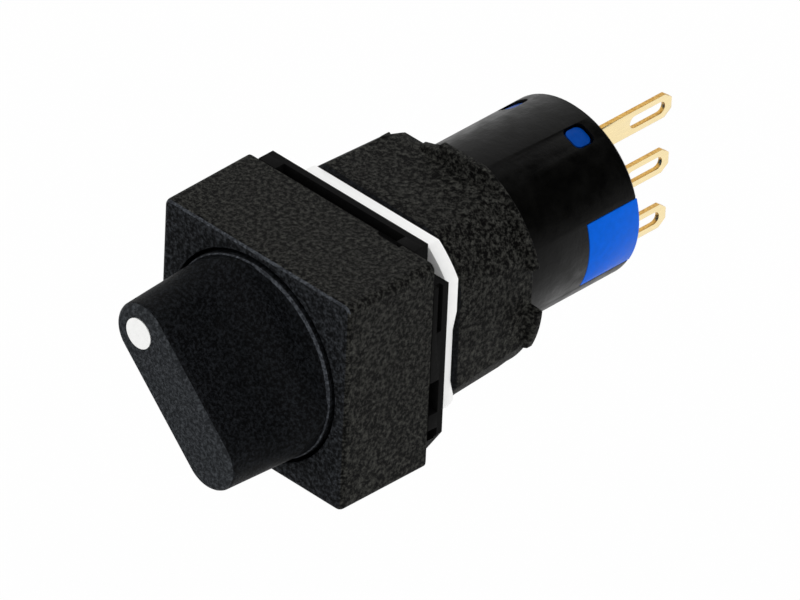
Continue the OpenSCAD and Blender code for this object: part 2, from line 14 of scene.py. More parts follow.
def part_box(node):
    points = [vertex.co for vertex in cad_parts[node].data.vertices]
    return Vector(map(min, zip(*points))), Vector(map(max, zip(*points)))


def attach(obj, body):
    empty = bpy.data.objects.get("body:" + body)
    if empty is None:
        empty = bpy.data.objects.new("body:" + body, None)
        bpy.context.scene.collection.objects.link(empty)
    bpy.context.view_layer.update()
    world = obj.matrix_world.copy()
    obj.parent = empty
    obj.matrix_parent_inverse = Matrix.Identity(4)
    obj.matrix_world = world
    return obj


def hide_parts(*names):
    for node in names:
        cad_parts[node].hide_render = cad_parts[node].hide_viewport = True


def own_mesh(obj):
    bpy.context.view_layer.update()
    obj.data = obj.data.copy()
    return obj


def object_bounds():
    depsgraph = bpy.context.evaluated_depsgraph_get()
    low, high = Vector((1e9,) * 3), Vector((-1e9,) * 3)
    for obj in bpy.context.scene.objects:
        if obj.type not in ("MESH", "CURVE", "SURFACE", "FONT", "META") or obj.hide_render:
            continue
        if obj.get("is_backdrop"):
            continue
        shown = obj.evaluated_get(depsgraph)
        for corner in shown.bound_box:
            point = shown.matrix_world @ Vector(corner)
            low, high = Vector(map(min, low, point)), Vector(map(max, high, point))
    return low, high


bl_info = {
    "name": "Rotary switch finish",
    "version": (1, 0, 0),
    "blender": (4, 5, 0),
    "location": "3D View > Sidebar > Switch",
    "description": "Builds the visible skins, thread, springs, finishes and studio of a rotary switch",
    "category": "Object",
}

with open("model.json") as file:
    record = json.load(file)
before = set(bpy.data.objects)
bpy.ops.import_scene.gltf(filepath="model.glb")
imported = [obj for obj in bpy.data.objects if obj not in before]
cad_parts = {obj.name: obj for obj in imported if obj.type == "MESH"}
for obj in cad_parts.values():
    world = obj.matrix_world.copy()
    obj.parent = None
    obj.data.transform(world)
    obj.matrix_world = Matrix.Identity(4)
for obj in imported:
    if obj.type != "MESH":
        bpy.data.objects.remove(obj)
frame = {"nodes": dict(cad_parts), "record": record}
MM = 0.001
PICTURE_WIDTH, PICTURE_HEIGHT = 800, 600
SENSOR_WIDTH = 36


def node_box(node):
    """Lowest and highest corner of a node of the frame, in millimetres."""
    low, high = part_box(node)
    return low / MM, high / MM


BEZEL_LOW, BEZEL_HIGH = node_box("bezel")
KNOB_LOW, KNOB_HIGH = node_box("knob")
DOT_LOW, DOT_HIGH = node_box("indicator_dot")
NUT_LOW, NUT_HIGH = node_box("lock_nut")
SPRING_LOW, SPRING_HIGH = node_box("return_spring")
DETENT_LOW, DETENT_HIGH = node_box("detent_spring")
GASKET_LOW = node_box("panel_gasket")[0]
BASE_HIGH = node_box("terminal_base")[1]
SEAL_MIDDLE = sum(corner.y for corner in node_box("shaft_seal_ring")) / 2


# Settings that a user would change.

class StageSettings(bpy.types.PropertyGroup):
    azimuth: bpy.props.FloatProperty(
        name="Azimuth", description="Direction of the view, 0 looks along +Y", default=43.77)
    elevation: bpy.props.FloatProperty(
        name="Elevation", description="Height of the view above the horizon", default=34.97)
    roll: bpy.props.FloatProperty(
        name="Roll", description="Turn of the picture, clockwise as seen", default=2.48)
    distance: bpy.props.FloatProperty(
        name="Distance", description="From the camera to the switch's origin", default=1.594,
        unit="LENGTH")
    scale: bpy.props.FloatProperty(
        name="Scale", description="Picture points for one millimetre at the origin", default=10.951)
    origin_x: bpy.props.FloatProperty(
        name="Origin X", description="Picture point of the origin, from the left", default=350.87)
    origin_y: bpy.props.FloatProperty(
        name="Origin Y", description="Picture point of the origin, from the top", default=302.19)
    floor_drop: bpy.props.FloatProperty(
        name="Floor drop", description="Room between the switch and the floor", default=0.08,
        unit="LENGTH")
    floor_radius: bpy.props.FloatProperty(
        name="Floor radius", description="Radius of the round floor", default=3, unit="LENGTH")
    floor_colour: bpy.props.FloatVectorProperty(
        name="Floor colour", description="Colour of the floor", subtype="COLOR",
        default=(0.95, 0.95, 0.95))
    floor_white: bpy.props.FloatProperty(
        name="Floor white", description="How far the floor shows as plain white, 0 to 1", default=0.88)
    light: bpy.props.FloatProperty(
        name="Light", description="Strength of the soft light from all round", default=1.0)
    lamp: bpy.props.FloatProperty(
        name="Lamp", description="Power of the soft lamp above", default=0.05, unit="POWER")
    lamp_size: bpy.props.FloatProperty(
        name="Lamp size", description="Width of the lamp's round face", default=0.5, unit="LENGTH")
    lamp_place: bpy.props.FloatVectorProperty(
        name="Lamp place", description="Centre of the lamp, which looks at the switch",
        unit="LENGTH", default=(-0.2, 0.25, 0.5))
    front_card: bpy.props.FloatProperty(
        name="Front card", description="Radius of the black card below the front", default=0.045,
        unit="LENGTH")
    front_card_place: bpy.props.FloatVectorProperty(
        name="Front card place", description="Centre of the front card", unit="LENGTH",
        default=(-0.048, -0.050, -0.0487))
    rear_card: bpy.props.FloatProperty(
        name="Rear card", description="Radius of the black card above the back", default=0.085,
        unit="LENGTH")
    rear_card_place: bpy.props.FloatVectorProperty(
        name="Rear card place", description="Centre of the rear card", unit="LENGTH",
        default=(0.058, 0.070, 0.070))


class FinishSettings(bpy.types.PropertyGroup):
    black: bpy.props.FloatVectorProperty(
        name="Black", description="Colour of the black mouldings", subtype="COLOR",
        default=(0.0005, 0.0005, 0.0004))
    speck: bpy.props.FloatVectorProperty(
        name="Speck", description="Colour of the grain's lightest specks", subtype="COLOR",
        default=(0.056, 0.056, 0.050))
    blue: bpy.props.FloatVectorProperty(
        name="Blue", description="Colour of the terminal base", subtype="COLOR",
        default=(0.0008, 0.115, 0.68))
    white: bpy.props.FloatVectorProperty(
        name="White", description="Colour of the anti-rotation plate and the dot", subtype="COLOR",
        default=(0.96, 0.96, 0.95))
    gold: bpy.props.FloatVectorProperty(
        name="Gold", description="Colour of the plated terminals", subtype="COLOR",
        default=(0.97, 0.80, 0.46))
    grain: bpy.props.FloatProperty(
        name="Grain", description="Size of the eroded grain on the outer mouldings", default=0.00042,
        unit="LENGTH")
    grain_depth: bpy.props.FloatProperty(
        name="Grain depth", description="Depth of that grain", default=0.00014, unit="LENGTH")


class BezelSettings(bpy.types.PropertyGroup):
    edge: bpy.props.FloatProperty(
        name="Edge", description="Rounding of the front edge", default=0.00055, unit="LENGTH")
    corner: bpy.props.FloatProperty(
        name="Corner", description="Rounding of the four long corners", default=0.0008, unit="LENGTH")
    draft: bpy.props.FloatProperty(
        name="Draft", description="Extra width at the rear edge", default=0.00035, unit="LENGTH")
    well_radius: bpy.props.FloatProperty(
        name="Well radius", description="Radius of the well round the knob", default=0.0106,
        unit="LENGTH")
    well_depth: bpy.props.FloatProperty(
        name="Well depth", description="Depth of that well", default=0.0043, unit="LENGTH")
    well_edge: bpy.props.FloatProperty(
        name="Well edge", description="Rounding of the well's rim", default=0.00012, unit="LENGTH")
    web: bpy.props.FloatProperty(
        name="Web", description="Thickness of the well's floor", default=0.0012, unit="LENGTH")
    hub_radius: bpy.props.FloatProperty(
        name="Hub radius", description="Radius of the hole in the well's floor", default=0.007,
        unit="LENGTH")
    wall: bpy.props.FloatProperty(
        name="Wall", description="Wall of the rear skirt", default=0.0014, unit="LENGTH")
    notch_place: bpy.props.FloatProperty(
        name="Notch place", description="From the axis to the release notch in the rear top edge",
        default=0.0065, unit="LENGTH")
    notch_width: bpy.props.FloatProperty(
        name="Notch width", description="Width of the release notch", default=0.003, unit="LENGTH")
    notch_depth: bpy.props.FloatProperty(
        name="Notch depth", description="How far the notch reaches forward", default=0.0005,
        unit="LENGTH")


class KnobSettings(bpy.types.PropertyGroup):
    handle_angle: bpy.props.FloatProperty(
        name="Handle angle", description="Direction of the pointer from +X towards +Z", default=135)
    handle_width: bpy.props.FloatProperty(
        name="Handle width", description="Width of the handle's front strip", default=0.0063,
        unit="LENGTH")
    handle_reach: bpy.props.FloatProperty(
        name="Handle reach", description="From the axis to the centre of each rounded end",
        default=0.00645, unit="LENGTH")
    handle_rise: bpy.props.FloatProperty(
        name="Handle rise", description="Height of the handle above the disc", default=0.00975,
        unit="LENGTH")
    handle_edge: bpy.props.FloatProperty(
        name="Handle edge", description="Rounding of the handle's front edge", default=0.0007,
        unit="LENGTH")
    scoop: bpy.props.FloatProperty(
        name="Scoop", description="Depth of the finger scoop in each side", default=0.0002,
        unit="LENGTH")
    scoop_run: bpy.props.FloatProperty(
        name="Scoop run", description="Length over which the scoop fades out at each end",
        default=0.0035, unit="LENGTH")
    blend: bpy.props.FloatProperty(
        name="Blend", description="Radius between the handle's side and the disc", default=0.0036,
        unit="LENGTH")
    wall: bpy.props.FloatProperty(
        name="Wall", description="Wall of the disc's skirt", default=0.0013, unit="LENGTH")
    skirt_gap: bpy.props.FloatProperty(
        name="Skirt gap", description="Room between the skirt and the floor of the bezel's well",
        default=0.00035, unit="LENGTH")


class ThreadSettings(bpy.types.PropertyGroup):
    pitch: bpy.props.FloatProperty(
        name="Pitch", description="Pitch of the sleeve's thread", default=0.001, unit="LENGTH")
    radius: bpy.props.FloatProperty(
        name="Radius", description="Outer radius of the thread", default=0.008, unit="LENGTH")
    depth: bpy.props.FloatProperty(
        name="Depth", description="Depth of the thread", default=0.00035, unit="LENGTH")
    length: bpy.props.FloatProperty(
        name="Length", description="Length of the threaded sleeve", default=0.0099, unit="LENGTH")
    keyway: bpy.props.FloatProperty(
        name="Keyway", description="Width of the keyway under the sleeve", default=0.002,
        unit="LENGTH")


class NutSettings(bpy.types.PropertyGroup):
    lug_radius: bpy.props.FloatProperty(
        name="Lug radius", description="Radius of the rim's low lug beside the upper notch",
        default=0.01075, unit="LENGTH")
    low_radius: bpy.props.FloatProperty(
        name="Low radius", description="Radius of the rim below the nut's right side",
        default=0.01155, unit="LENGTH")
    rim_length: bpy.props.FloatProperty(
        name="Rim length", description="Length of the wrench rim, from the nut's rear",
        default=0.0015, unit="LENGTH")
    corner_lift: bpy.props.FloatProperty(
        name="Corner lift", description="How far the nut's upper left corner stands out",
        default=0.00045, unit="LENGTH")


class SpringSettings(bpy.types.PropertyGroup):
    return_turns: bpy.props.FloatProperty(
        name="Return turns", description="Turns of the return spring", default=6)
    return_wire: bpy.props.FloatProperty(
        name="Return wire", description="Radius of the return spring's wire", default=0.00015,
        unit="LENGTH")
    return_give: bpy.props.FloatProperty(
        name="Return give", description="How much shorter the return spring is with the knob turned",
        default=0.0009, unit="LENGTH")
    detent_turns: bpy.props.FloatProperty(
        name="Detent turns", description="Turns of the detent spring", default=10)
    detent_wire: bpy.props.FloatProperty(
        name="Detent wire", description="Radius of the detent spring's wire", default=0.00013,
        unit="LENGTH")
    detent_radius: bpy.props.FloatProperty(
        name="Detent radius", description="Radius of the detent spring's coil, to the wire's centre",
        default=0.00072, unit="LENGTH")
    detent_length: bpy.props.FloatProperty(
        name="Detent length", description="Length of the detent spring between the balls",
        default=0.0083, unit="LENGTH")


def settings(name):
    return getattr(bpy.context.scene, "switch_" + name)


# Materials.

def link(tree, out_node, out_name, in_node, in_name):
    tree.links.new(out_node.outputs[out_name], in_node.inputs[in_name])


def new_finish(name, colour, roughness, metallic=0.0, ior=1.5, specular=0.5):
    """A material with its plain values on the shader, and the shader and coordinates to build on."""
    material = bpy.data.materials.new(name + "_finish")
    material.use_nodes = True
    tree = material.node_tree
    shader = tree.nodes["Principled BSDF"]
    shader.inputs["Base Color"].default_value = (*colour, 1)
    shader.inputs["Roughness"].default_value = roughness
    shader.inputs["Metallic"].default_value = metallic
    shader.inputs["IOR"].default_value = ior
    shader.inputs["Specular IOR Level"].default_value = specular
    place = tree.nodes.new("ShaderNodeTexCoord")
    return material, tree, shader, place


def noise(tree, place, size, detail=2.0, rough=0.5, stretch=None):
    """Noise whose features are about `size` metres across, stretched along an axis if asked."""
    node = tree.nodes.new("ShaderNodeTexNoise")
    node.inputs["Scale"].default_value = 1.0 / size
    node.inputs["Detail"].default_value = detail
    node.inputs["Roughness"].default_value = rough
    if stretch:
        mapping = tree.nodes.new("ShaderNodeMapping")
        mapping.inputs["Scale"].default_value = stretch
        link(tree, place, "Object", mapping, "Vector")
        link(tree, mapping, "Vector", node, "Vector")
    else:
        link(tree, place, "Object", node, "Vector")
    return node


def spread(tree, source, low, high, start=0.3, end=0.7):
    """Maps a noise's middle range onto low to high."""
    node = tree.nodes.new("ShaderNodeMapRange")
    node.inputs["From Min"].default_value = start
    node.inputs["From Max"].default_value = end
    node.inputs["To Min"].default_value = low
    node.inputs["To Max"].default_value = high
    link(tree, source, "Fac", node, "Value")
    return node


def vary_colour(tree, shader, source, first, second, start=0.3, end=0.7):
    """Lets the base colour drift between two close colours."""
    mix = tree.nodes.new("ShaderNodeMix")
    mix.data_type = "RGBA"
    mix_a = [s for s in mix.inputs if s.name == "A" and s.type == "RGBA"][0]
    mix_b = [s for s in mix.inputs if s.name == "B" and s.type == "RGBA"][0]
    mix_a.default_value = (*first, 1)
    mix_b.default_value = (*second, 1)
    amount = spread(tree, source, 0, 1, start, end)
    tree.links.new(amount.outputs["Result"], mix.inputs[0])
    result = [s for s in mix.outputs if s.type == "RGBA"][0]
    tree.links.new(result, shader.inputs["Base Color"])


def emboss(tree, shader, source, depth):
    """Turns a noise into relief of the given depth in metres."""
    bump = tree.nodes.new("ShaderNodeBump")
    bump.inputs["Strength"].default_value = 1
    bump.inputs["Distance"].default_value = depth
    link(tree, source, "Fac", bump, "Height")
    link(tree, bump, "Normal", shader, "Normal")


def tint(colour, factor):
    """The colour, lighter or darker by a factor."""
    return tuple(min(1.0, c * factor) for c in colour)


def matt_black(name, dark, light, roughness=0.55, coarse=1.0):
    """A moulded black whose fine grain runs from a dark to a light tone."""
    s = settings("finish")
    material, tree, shader, place = new_finish(name, dark, roughness, ior=1.13)
    grain = noise(tree, place, s.grain * coarse, detail=5.0, rough=0.75)
    link(tree, spread(tree, grain, roughness - 0.08, roughness + 0.08), "Result", shader, "Roughness")
    vary_colour(tree, shader, grain, dark, light, start=0.45, end=0.68)
    emboss(tree, shader, grain, s.grain_depth * coarse)
    return material


def smooth_black():
    """The plain mouldings behind the panel."""
    s = settings("finish")
    material, tree, shader, place = new_finish("smooth_black", tint(s.black, 1.4), 0.4, ior=1.19)
    flow = noise(tree, place, 0.0016, detail=4.0, rough=0.6)
    link(tree, spread(tree, flow, 0.3, 0.46), "Result", shader, "Roughness")
    vary_colour(tree, shader, flow, s.black, tint(s.black, 4))
    emboss(tree, shader, flow, 0.00006)
    return material


def black_rubber():
    material, tree, shader, place = new_finish("black_rubber", (0.004, 0.004, 0.004), 0.75, ior=1.15)
    skin = noise(tree, place, 0.0003, detail=3.0, rough=0.6)
    link(tree, spread(tree, skin, 0.65, 0.85), "Result", shader, "Roughness")
    vary_colour(tree, shader, skin, (0.002, 0.002, 0.002), (0.005, 0.005, 0.005))
    emboss(tree, shader, skin, 0.00001)
    return material


def white_plastic():
    s = settings("finish")
    material, tree, shader, place = new_finish("white_plastic", s.white, 0.45)
    haze = noise(tree, place, 0.0006)
    link(tree, spread(tree, haze, 0.4, 0.52), "Result", shader, "Roughness")
    vary_colour(tree, shader, haze, tint(s.white, 0.97), s.white)
    emboss(tree, shader, haze, 0.000003)
    return material


def natural_plastic():
    material, tree, shader, place = new_finish("natural_plastic", (0.78, 0.74, 0.65), 0.4)
    haze = noise(tree, place, 0.0008)
    link(tree, spread(tree, haze, 0.34, 0.48), "Result", shader, "Roughness")
    vary_colour(tree, shader, haze, (0.74, 0.70, 0.61), (0.80, 0.76, 0.67))
    emboss(tree, shader, haze, 0.000004)
    return material


def blue_plastic(name="blue_plastic", depth=1.0):
    """The terminal base's blue, darker where depth is under 1, which paints shade."""
    blue = tint(settings("finish").blue, depth)
    material, tree, shader, place = new_finish(name, blue, 0.4, ior=1.12)
    flow = noise(tree, place, 0.0007)
    link(tree, spread(tree, flow, 0.3, 0.4), "Result", shader, "Roughness")
    vary_colour(tree, shader, flow, tint(blue, 0.92), tint(blue, 1.05))
    emboss(tree, shader, flow, 0.000004)
    return material


def punched_edge():
    """The cut edges of the terminals, deeper in colour than their plated faces."""
    material, tree, shader, place = new_finish("punched_edge", (0.7, 0.4, 0.1), 0.35, metallic=1.0)
    marks = noise(tree, place, 0.0002, rough=0.6)
    link(tree, spread(tree, marks, 0.25, 0.45), "Result", shader, "Roughness")
    vary_colour(tree, shader, marks, (0.45, 0.22, 0.04), (0.85, 0.55, 0.16))
    return material


def plated(name, colour, roughness):
    """A rolled and plated metal with faint marks along the strip."""
    material, tree, shader, place = new_finish(name, colour, roughness, metallic=1.0)
    marks = noise(tree, place, 0.00035, detail=3.0, rough=0.6, stretch=(1, 0.25, 1))
    link(tree, spread(tree, marks, roughness * 0.8, roughness * 1.25), "Result", shader, "Roughness")
    vary_colour(tree, shader, marks, tint(colour, 0.95), tint(colour, 1.03))
    emboss(tree, shader, marks, 0.000003)
    return material


def grained_black():
    """The eroded grain of the bezel and the nut."""
    s = settings("finish")
    return matt_black("grained_black", s.black, s.speck, roughness=0.6)


def front_sheen_shade_black():
    """The bezel's front: grained like the rest of the bezel, in a bluish tone of less contrast, a
    painted sheen and shade.
    """
    dark, light = (0.003, 0.0033, 0.0038), (0.042, 0.046, 0.052)
    return matt_black("front_sheen_shade_black", dark, light)


def painted_highlight_black():
    """Rounded edges in a lighter black than the faces beside them: a painted highlight."""
    dark, light = (0.02, 0.022, 0.026), (0.1, 0.11, 0.125)
    return matt_black("painted_highlight_black", dark, light, roughness=0.45, coarse=0.8)


def painted_sheen_black():
    """The strip on the handle's front, painted lighter and bluish than the knob's sides: a painted
    sheen.
    """
    dark, light = (0.014, 0.0155, 0.0175), (0.063, 0.069, 0.076)
    return matt_black("painted_sheen_black", dark, light, coarse=0.9)


def painted_shade_black():
    """The knob's sides and disc, the well and the nut's front, painted near black: painted shade."""
    dark, light = (0.0012, 0.0014, 0.0017), (0.0145, 0.0165, 0.0195)
    return matt_black("painted_shade_black", dark, light, roughness=0.5, coarse=0.8)


FINISHES = {
    "grained_black": grained_black,
    "front_sheen_shade_black": front_sheen_shade_black,
    "painted_highlight_black": painted_highlight_black,
    "painted_sheen_black": painted_sheen_black,
    "painted_shade_black": painted_shade_black,
    "smooth_black": smooth_black,
    "black_rubber": black_rubber,
    "white_plastic": white_plastic,
    "natural_plastic": natural_plastic,
    "blue_plastic": blue_plastic,
    # The latches' blue, darkened as painted shade.
    "latch_painted_shade_blue": lambda: blue_plastic("latch_painted_shade_blue", 0.42),
    "punched_edge": punched_edge,
    "gold_plate": lambda: plated("gold_plate", settings("finish").gold, 0.22),
    "spring_bronze": lambda: plated("spring_bronze", (0.72, 0.44, 0.24), 0.3),
    "silver_contact": lambda: plated("silver_contact", (0.82, 0.82, 0.8), 0.28),
    "steel": lambda: plated("steel", (0.6, 0.61, 0.63), 0.25),
}


def finish(name):
    """The material of that name, made on its first use."""
    return bpy.data.materials.get(name + "_finish") or FINISHES[name]()


# Meshes.

def to_object(name, bm, material):
    """Closes a bmesh in metres into an object with smooth faces and sharp creases."""
    bmesh.ops.remove_doubles(bm, verts=bm.verts, dist=1e-7)
    bmesh.ops.recalc_face_normals(bm, faces=bm.faces)
    mesh = bpy.data.meshes.new(name)
    bm.to_mesh(mesh)
    bm.free()
    return mesh_object(name, mesh, material)


def mesh_object(name, mesh, material, sharp_angle=32):
    mesh.materials.clear()
    mesh.materials.append(finish(material))
    mesh.polygons.foreach_set("material_index", [0] * len(mesh.polygons))
    mesh.shade_smooth()
    mesh.set_sharp_from_angle(angle=math.radians(sharp_angle))
    obj = bpy.data.objects.new(name, mesh)
    bpy.context.scene.collection.objects.link(obj)
    return obj


def paint_faces(obj, material, test):
    """Gives a second finish to the faces whose centre, in millimetres, and normal pass the test."""
    mesh = obj.data
    mesh.materials.append(finish(material))
    for face in mesh.polygons:
        if test(face.center / MM, face.normal):
            face.material_index = len(mesh.materials) - 1


def cut_box(obj, low, high):
    """Cuts a box, given by its lowest and highest corner in millimetres, out of a piece."""
    bm = bmesh.new()
    size = Matrix.Diagonal((*(high - low), 1))
    place = Matrix.Scale(MM, 4) @ Matrix.Translation((low + high) / 2) @ size
    bmesh.ops.create_cube(bm, size=1, matrix=place)
    mesh = bpy.data.meshes.new("cutter")
    bm.to_mesh(mesh)
    bm.free()
    cutter = bpy.data.objects.new("cutter", mesh)
    bpy.context.scene.collection.objects.link(cutter)
    modifier = obj.modifiers.new("cut", "BOOLEAN")
    modifier.solver = "EXACT"
    modifier.object = cutter
    name, mesh = baked(obj)
    bpy.data.objects.remove(cutter)
    return name, mesh


def baked(obj):
    """The object with its modifiers applied, as a plain mesh in a new object."""
    depsgraph = bpy.context.evaluated_depsgraph_get()
    mesh = bpy.data.meshes.new_from_object(obj.evaluated_get(depsgraph))
    name = obj.name
    bpy.data.objects.remove(obj)
    mesh.name = name
    return name, mesh


def settle(obj, node):
    """Puts a finished piece in the place of its node."""
    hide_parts(node)
    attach(obj, body_of_node(node))
    return obj


def body_of_node(node):
    for body, members in frame["record"]["behaviour"]["bodies"].items():
        if node in members:
            return body
    raise RuntimeError("no body holds the node " + node)


def dress_node(node, material):
    """Gives a node of the frame its finish and leaves its shape alone."""
    obj = frame["nodes"][node]
    obj.data.materials.clear()
    obj.data.materials.append(finish(material))


def eased_copy(node, name, material, width, clamp=True, change=None):
    """A copy of a node's mesh, changed if asked, whose hard edges are eased by `width` millimetres.

    The clamp holds every edge to what the shortest one allows.
    """
    bm = bmesh.new()
    bm.from_mesh(frame["nodes"][node].data)
    bmesh.ops.remove_doubles(bm, verts=bm.verts, dist=2e-7)
    if change:
        change(bm)
    flat, crease = math.radians(0.4), math.radians(30)
    bmesh.ops.dissolve_limit(bm, angle_limit=flat, verts=bm.verts, edges=bm.edges)
    obj = to_object(name, bm, material)
    bevel = obj.modifiers.new("edges", "BEVEL")
    bevel.width = width * MM
    bevel.segments = 2
    bevel.limit_method = "ANGLE"
    bevel.angle_limit = crease
    bevel.use_clamp_overlap = clamp
    bevel.miter_outer = "MITER_ARC" if clamp else "MITER_SHARP"
    name, mesh = baked(obj)
    # The bevel's corners stay inside the node's own box.
    low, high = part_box(node)
    for vert in mesh.vertices:
        vert.co = [min(max(c, a), b) for c, a, b in zip(vert.co, low, high)]
    return settle(mesh_object(name, mesh, material), node)


def loft(bm, rings, closed=False):
    """Joins rings of equal count, given in millimetres, and returns their vertices."""
    rows = [[bm.verts.new(Vector(p) * MM) for p in ring] for ring in rings]
    pairs = list(zip(rows, rows[1:]))
    if closed:
        pairs.append((rows[-1], rows[0]))
    for first, second in pairs:
        count = len(first)
        for i in range(count):
            j = (i + 1) % count
            bm.faces.new((first[i], first[j], second[j], second[i]))
    return rows


def rounded_outline(width, height, radius, per_side=36, per_corner=8):
    """Points (x, z) round a rectangle with rounded corners, anticlockwise from the right."""
    arcs = []
    for quarter, (sx, sz) in enumerate(((1, 1), (-1, 1), (-1, -1), (1, -1))):
        x, z = sx * (width / 2 - radius), sz * (height / 2 - radius)
        turn = [math.pi / 2 * (quarter + k / per_corner) for k in range(per_corner + 1)]
        arcs.append([(x + radius * math.cos(a), z + radius * math.sin(a)) for a in turn])
    points = []
    for k, arc in enumerate(arcs):
        points += arc
        start, end = arc[-1], arcs[(k + 1) % 4][0]
        for i in range(1, per_side):
            t = i / per_side
            points.append((start[0] + (end[0] - start[0]) * t, start[1] + (end[1] - start[1]) * t))
    return points


def smooth_curve(points, per_span=4):
    """Catmull-Rom points through the given (a, b) pairs."""
    out = []
    for i in range(len(points) - 1):
        four = (points[max(i - 1, 0)], points[i], points[i + 1], points[min(i + 2, len(points) - 1)])
        for k in range(per_span):
            t = k / per_span
            out.append(tuple(
                0.5 * (2 * p1 + (p2 - p0) * t + (2 * p0 - 5 * p1 + 4 * p2 - p3) * t * t
                       + (3 * p1 - p0 - 3 * p2 + p3) * t ** 3) for p0, p1, p2, p3 in zip(*four)))
    return out + [points[-1]]


# Operators, one for each piece or group of like pieces.

class SWITCH_OT_bezel(bpy.types.Operator):
    """Build the square bezel: drafted walls, rounded front edge and the round well for the knob"""
    bl_idname = "switch.bezel"
    bl_label = "Bezel"

    def execute(self, context):
        s = settings("bezel")
        front, rear = BEZEL_LOW.y, BEZEL_HIGH.y
        height = BEZEL_HIGH.z - BEZEL_LOW.z
        wide = BEZEL_HIGH.x - BEZEL_LOW.x
        draft = s.draft / MM
        width = wide - draft
        edge, corner = s.edge / MM, s.corner / MM
        well, floor = s.well_radius / MM, front + s.well_depth / MM
        lip, wall, hub = s.well_edge / MM, s.wall / MM, s.hub_radius / MM
        back_of_floor = floor + s.web / MM
        fillet, nip, skirt_corner, least_corner = 0.15, 0.1, 0.6, 0.2
        angles = [math.atan2(z, x) for x, z in rounded_outline(wide, height, corner)]

        def circle(radius, y):
            return [(radius * math.cos(a), y, radius * math.sin(a)) for a in angles]

        def square(inset, y, grown=0.0, radius=corner):
            outline = rounded_outline(width + grown - 2 * inset, height - 2 * inset,
                                      max(radius - inset, least_corner))
            return [(x, y, z) for x, z in outline]

        # From the back of the well's floor up the well, over the front edge and down the walls.
        rings = [circle(hub, back_of_floor), circle(hub, floor), circle(well - fillet, floor),
                 circle(well, floor - fillet)]
        lip_steps, edge_steps, wall_steps = 3, 6, 4
        for k in range(lip_steps + 1):
            a = math.pi / 2 * k / lip_steps
            rings.append(circle(well + lip * (1 - math.cos(a)), front + lip * (1 - math.sin(a))))
        for k in range(edge_steps + 1):
            a = math.pi / 2 * k / edge_steps
            rings.append(square(edge * (1 - math.sin(a)), front + edge * (1 - math.cos(a))))
        for k in range(1, wall_steps + 1):
            y = front + edge + (rear - nip - front - edge) * k / wall_steps
            rings.append(square(0, y, draft * k / wall_steps))
        rings += [square(0.6 * nip, rear - 0.3 * nip, draft), square(nip, rear, draft),
                  square(wall, rear, draft, skirt_corner + wall),
                  square(wall, back_of_floor, draft, skirt_corner + wall)]
        bm = bmesh.new()
        loft(bm, rings, closed=True)
        # The release notch in the rear edge on top, cut through the skirt's outer skin.
        notch_height = 0.8
        middle = Vector((s.notch_place / MM, rear, height / 2))
        reach = Vector((s.notch_width / MM / 2, s.notch_depth / MM, notch_height))
        plain = to_object("bezel_moulding", bm, "grained_black")
        name, mesh = cut_box(plain, middle - reach, middle + reach)
        obj = mesh_object(name, mesh, "grained_black")
        # Painted highlight on the upward faces of the rounded front edge, a painted sheen and shade on
        # the front, and painted shade in the well.
        lit, flat = front + 0.5 * edge, front + 0.12 * edge
        paint_faces(obj, "painted_highlight_black", lambda centre, normal: centre.y < lit and normal.z > 0.2)
        paint_faces(obj, "front_sheen_shade_black", lambda centre, _: centre.y < flat)
        paint_faces(obj, "painted_shade_black", lambda centre, _: math.hypot(centre.x, centre.z) < well)
        settle(obj, "bezel")
        return {"FINISHED"}


